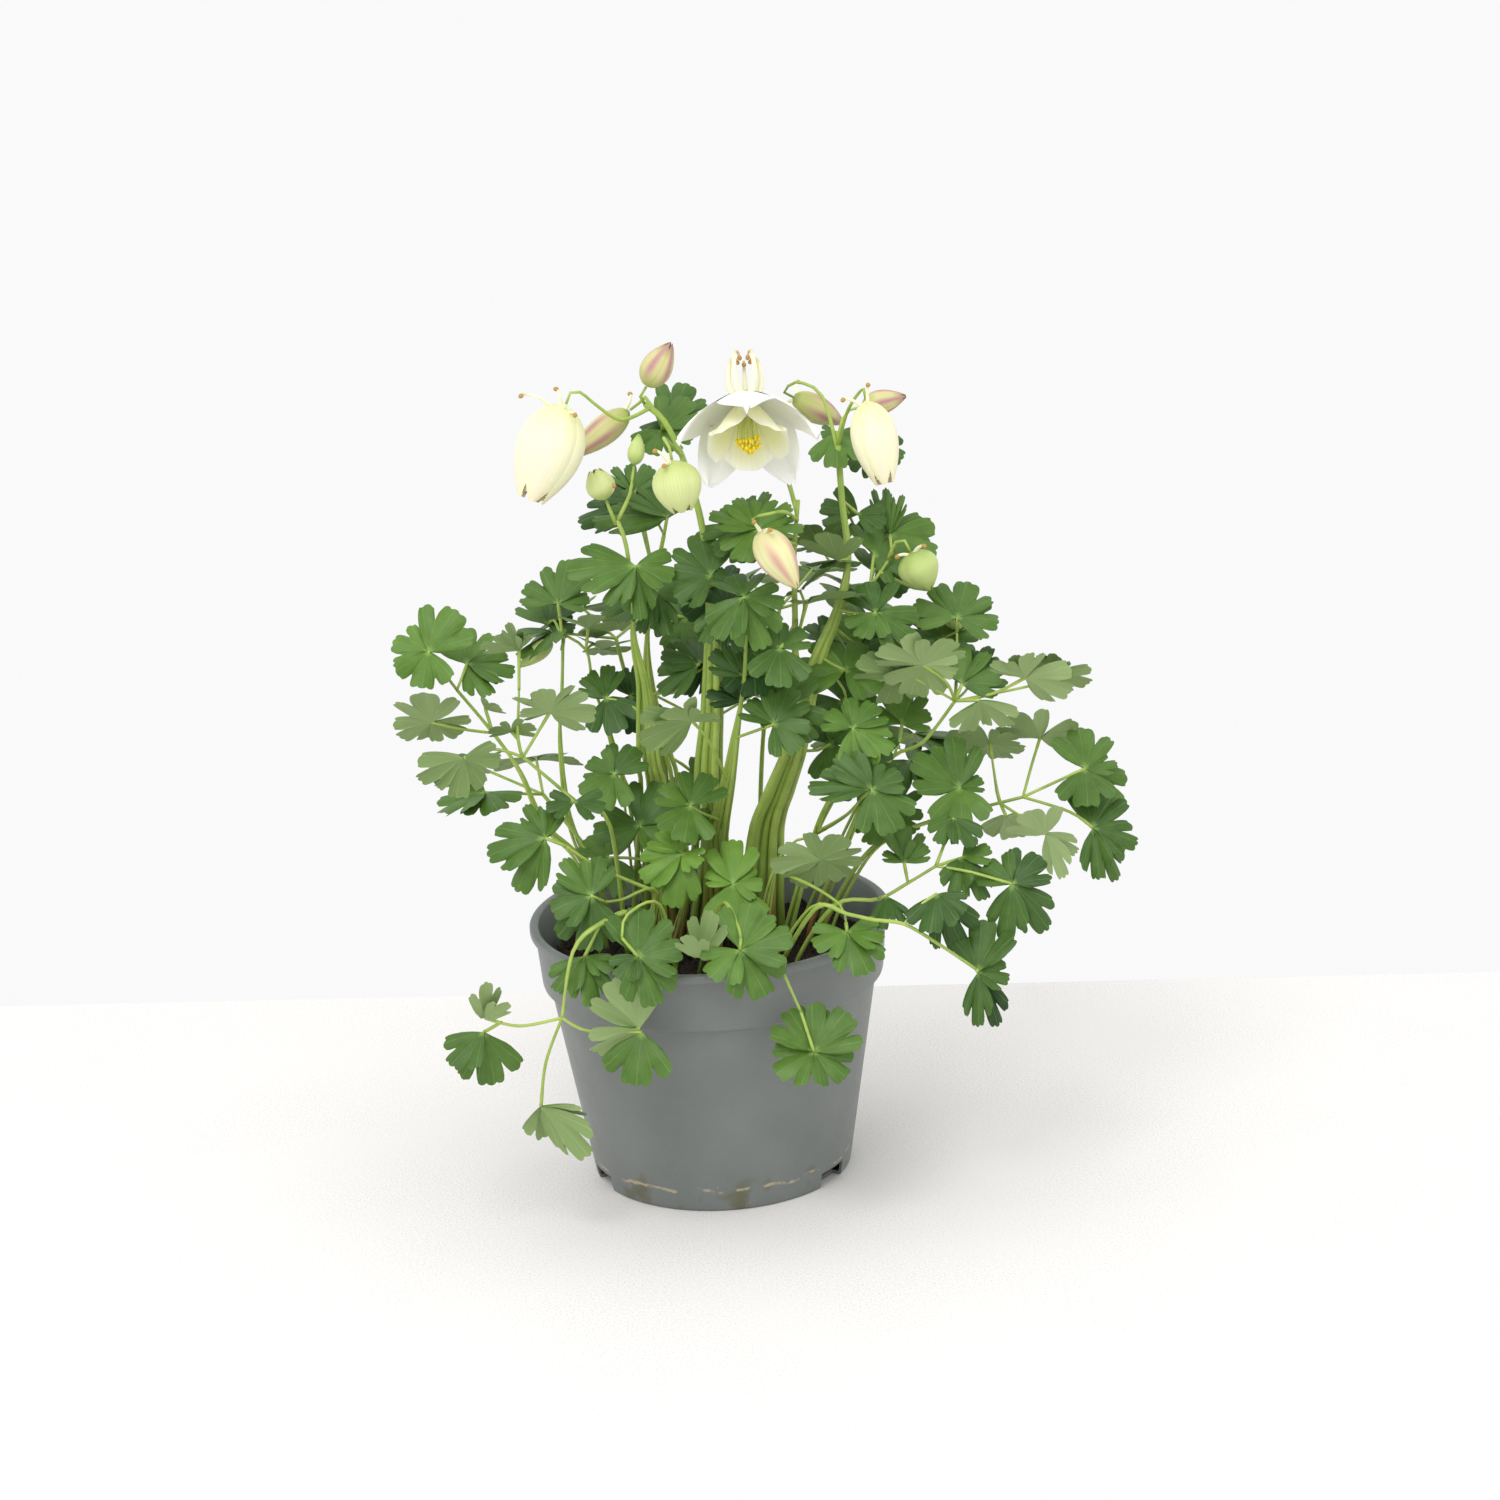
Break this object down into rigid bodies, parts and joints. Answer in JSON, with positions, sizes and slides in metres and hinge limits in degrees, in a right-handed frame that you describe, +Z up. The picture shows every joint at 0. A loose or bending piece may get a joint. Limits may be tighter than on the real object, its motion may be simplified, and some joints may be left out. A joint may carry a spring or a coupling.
{
  "type": "potted columbine",
  "caption": "Dwarf columbine in bud and first bloom, with fans of lobed leaflets on thin stalks, growing in a round nursery pot of dark soil.",
  "frame": {"origin": "centre of the pot's flat underside", "axes": "+Z up along the pot's axis, -Y towards the front of the plant, +X to the right as seen from the front"},
  "size_m": [0.3842, 0.2832, 0.443],
  "materials": {
    "pot": "moulded grey plastic, faintly stained",
    "soil": "dark peat compost",
    "leaf": "soft green leaf tissue",
    "petal_white": "white petals",
    "petal_cream": "cream petals",
    "petal_green": "green-cream petals",
    "bud_pink": "pink-tinged bud",
    "bud_cream": "cream bud with a pink tint",
    "bud_green": "green bud",
    "stamen": "yellow stamens"
  },
  "bodies": {
    "root": {"bloom_back_green": "petal_green", "bloom_left_nodding": "petal_cream", "bloom_middle_green": "petal_green", "bloom_petals": "petal_white", "bloom_right_nodding": "petal_cream", "bloom_stamens": "stamen", "bud_front": "bud_cream", "bud_left_low": "bud_green", "bud_left_nodding": "bud_pink", "bud_left_small": "bud_green", "bud_right": "bud_pink", "bud_right_pink": "bud_pink", "bud_side_green": "bud_green", "bud_side_low": "bud_green", "bud_top": "bud_pink", "frond_arched": "leaf", "frond_back_1": "leaf", "frond_back_2": "leaf", "frond_back_3": "leaf", "frond_back_4": "leaf", "frond_back_5": "leaf", "frond_centre_left": "leaf", "frond_front": "leaf", "frond_front_hanging": "leaf", "frond_front_left": "leaf", "frond_front_low": "leaf", "frond_left_back": "leaf", "frond_left_hanging": "leaf", "frond_left_high": "leaf", "frond_left_low": "leaf", "frond_right": "leaf", "frond_right_centre": "leaf", "frond_right_hanging": "leaf", "frond_right_high": "leaf", "frond_right_low": "leaf", "frond_young": "leaf", "frond_young_centre": "leaf", "pot": "pot", "soil": "soil", "stem_centre": "leaf", "stem_left": "leaf", "stem_main": "leaf", "stem_middle_left": "leaf", "stem_right": "leaf"}
  },
  "joints": []
}
